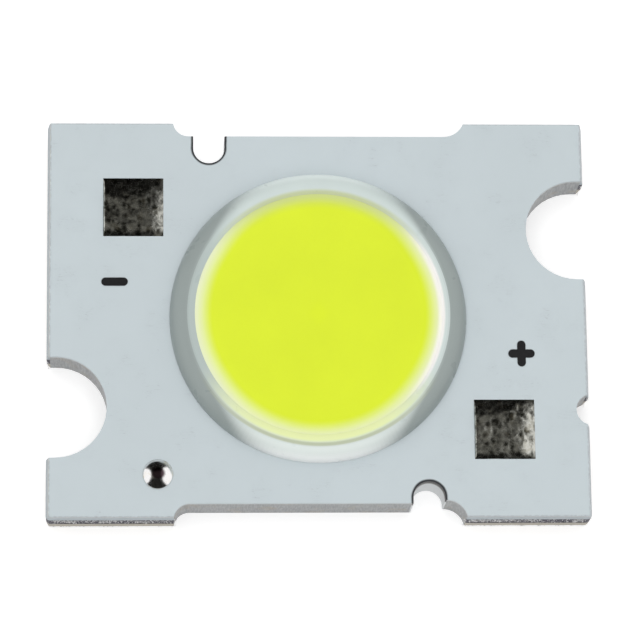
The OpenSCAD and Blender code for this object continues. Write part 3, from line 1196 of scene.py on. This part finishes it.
def floor_material():
    """Pale floor: white to the camera except for the part's shadow, and see-through from below."""
    material = bpy.data.materials.new("floor")
    nodes = Nodes(emptied(material))
    grey = (0.75, 0.75, 0.75, 1)
    matt = nodes.node("ShaderNodeBsdfDiffuse", inputs={"Color": grey})
    glow = nodes.node("ShaderNodeEmission", inputs={"Strength": 0.5})
    shown = nodes.node("ShaderNodeAddShader", inputs={0: matt, 1: glow})
    bounce = nodes.node("ShaderNodeEmission", inputs={"Strength": 0.75})
    pick = nodes.node("ShaderNodeMixShader", inputs={0: seen_by(nodes, 2), 1: bounce, 2: shown})
    back = nodes.node("ShaderNodeNewGeometry", output="Backfacing")
    clear = nodes.node("ShaderNodeBsdfTransparent")
    surface = nodes.node("ShaderNodeMixShader", inputs={0: back, 1: pick, 2: clear})
    nodes.node("ShaderNodeOutputMaterial", inputs={"Surface": surface})
    return material


def seen_by(nodes, count):
    """Whether a ray is one of the first few of camera, glossy and transmission rays."""
    kinds = ("Is Camera Ray", "Is Glossy Ray", "Is Transmission Ray")[:count]
    rays = [nodes.node("ShaderNodeLightPath", output=kind) for kind in kinds]
    seen = rays[0]
    for ray in rays[1:]:
        seen = nodes.larger(seen, ray)
    return seen


def shade_material(radius):
    """Dark at the front and the rear, a little lighter overhead."""
    material = bpy.data.materials.new("shade")
    nodes = Nodes(emptied(material))
    dark, overhead = 0.01, 0.17
    height = nodes.parts(nodes.node("ShaderNodeTexCoord", output="Object"))[2]
    level = nodes.ramp(height, radius * 0.9, radius * 0.985, dark, overhead, "LINEAR")
    warm = (1.0, 0.98, 0.9, 1)
    glow = nodes.node("ShaderNodeEmission", inputs={"Color": warm, "Strength": level})
    nodes.node("ShaderNodeOutputMaterial", inputs={"Surface": glow})
    return material


class CobLedStudio(Step):
    """Sets the floor, the light and the camera"""

    bl_idname = "cob_led.stage"
    bl_label = "Stage"

    def make(self, settings):
        self.floor()
        self.shade()
        self.world()
        self.lamps()
        self.camera(settings.stage)
        bpy.context.scene.view_settings.view_transform = "Standard"

    @staticmethod
    def floor():
        reach, gap = 1.2, 0.02 * MM
        turns = ((-1, -1), (1, -1), (1, 1), (-1, 1))
        sheet = sheet_of(
            "floor", [(reach * x, reach * y, CAD_LOW.z - gap) for x, y in turns], [(0, 1, 2, 3)]
        )
        sheet.data.materials.append(floor_material())

    @staticmethod
    def shade():
        """A dark arch over the part, open at both ends, that only reflections show."""
        radius, steps = 0.12, 48
        points, faces = [], []
        for step in range(steps + 1):
            angle = math.pi * step / steps
            leg = 0.1 * (1 - math.sin(angle))
            for x in (-0.1 - leg, 0.04 + leg):
                points.append((x, radius * math.cos(angle), radius * math.sin(angle)))
        for step in range(steps):
            a = 2 * step
            faces.append((a, a + 1, a + 3, a + 2))
        arch = sheet_of("shade", points, faces)
        arch.data.materials.append(shade_material(radius))
        for rays in ("camera", "diffuse", "transmission", "shadow"):
            setattr(arch, "visible_" + rays, False)

    @staticmethod
    def world():
        world = bpy.data.worlds.new("studio")
        bpy.context.scene.world = world
        nodes = Nodes(emptied(world))
        white = (1, 1, 1, 1)
        soft, bright = [
            nodes.node("ShaderNodeBackground", inputs={"Color": white, "Strength": strength})
            for strength in (0.52, 1.0)
        ]
        both = nodes.node("ShaderNodeMixShader", inputs={0: seen_by(nodes, 3), 1: soft, 2: bright})
        nodes.node("ShaderNodeOutputWorld", inputs={"Surface": both})

    @staticmethod
    def lamps():
        for name, place, size, power in (
            ("top", (-0.01, 0.01, 0.12), 0.11, 0.043),
            ("front", (0.0, -0.08, 0.09), 0.1, 0.026),
            ("rear", (0.0, 0.08, 0.09), 0.1, 0.022),
        ):
            data = bpy.data.lights.new(name, "AREA")
            data.shape = "DISK"
            data.size = size
            data.energy = power
            lamp = placed(name, data)
            lamp.location = place
            lamp.rotation_euler = (-Vector(place)).to_track_quat("-Z", "Y").to_euler()
            lamp.visible_glossy = False
            lamp.visible_camera = False

    @staticmethod
    def camera(stage):
        sin_a, cos_a = math.sin(stage.azimuth), math.cos(stage.azimuth)
        sin_e, cos_e = math.sin(stage.elevation), math.cos(stage.elevation)
        forward = Vector((sin_a * cos_e, cos_a * cos_e, -sin_e))
        level = Vector((cos_a, -sin_a, 0))
        rise = level.cross(forward)
        right = level * math.cos(stage.roll) + rise * math.sin(stage.roll)
        up = right.cross(forward)
        data = bpy.data.cameras.new("camera")
        data.lens = stage.lens
        data.sensor_width = 36.0
        data.clip_start = 0.005
        data.clip_end = 20.0
        camera = placed("camera", data)
        aim = Vector((0.064 * MM, -0.08 * MM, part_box("solder_mask")[1].z))
        turn = Matrix((right, up, -forward)).transposed()
        camera.matrix_world = Matrix.Translation(aim - forward * stage.distance) @ turn.to_4x4()
        bpy.context.scene.camera = camera


BOARD_STEPS = (CobLedCore, CobLedMask, CobLedCircuit, CobLedSolderPoints)
LIGHT_STEPS = (CobLedDam, CobLedFill, CobLedDies)
STEPS = (*BOARD_STEPS, *LIGHT_STEPS, CobLedMarks, CobLedStudio)


class CobLedPanel(bpy.types.Panel):
    """Lists the settings and the steps"""

    bl_idname = "VIEW3D_PT_cob_led"
    bl_label = "COB LED"
    bl_space_type = "VIEW_3D"
    bl_region_type = "UI"
    bl_category = "COB LED"

    def draw(self, context):
        settings = context.scene.cob_led
        for name in ("board", "solder", "light", "stage"):
            group = getattr(settings, name)
            box = self.layout.box()
            box.label(text=name.capitalize())
            for key in group.__annotations__:
                box.prop(group, key)
        for step in STEPS:
            self.layout.operator(step.bl_idname)


GROUPS = (CobLedBoard, CobLedSolder, CobLedLight, CobLedStage, CobLedSettings)
CLASSES = (*GROUPS, *STEPS, CobLedPanel)


def register():
    for item in CLASSES:
        bpy.utils.register_class(item)
    bpy.types.Scene.cob_led = PointerProperty(type=CobLedSettings)


def unregister():
    del bpy.types.Scene.cob_led
    for item in reversed(CLASSES):
        bpy.utils.unregister_class(item)


def main():
    register()
    for step in STEPS:
        group, name = step.bl_idname.split(".")
        getattr(getattr(bpy.ops, group), name)()


if __name__ == "__main__":
    main()
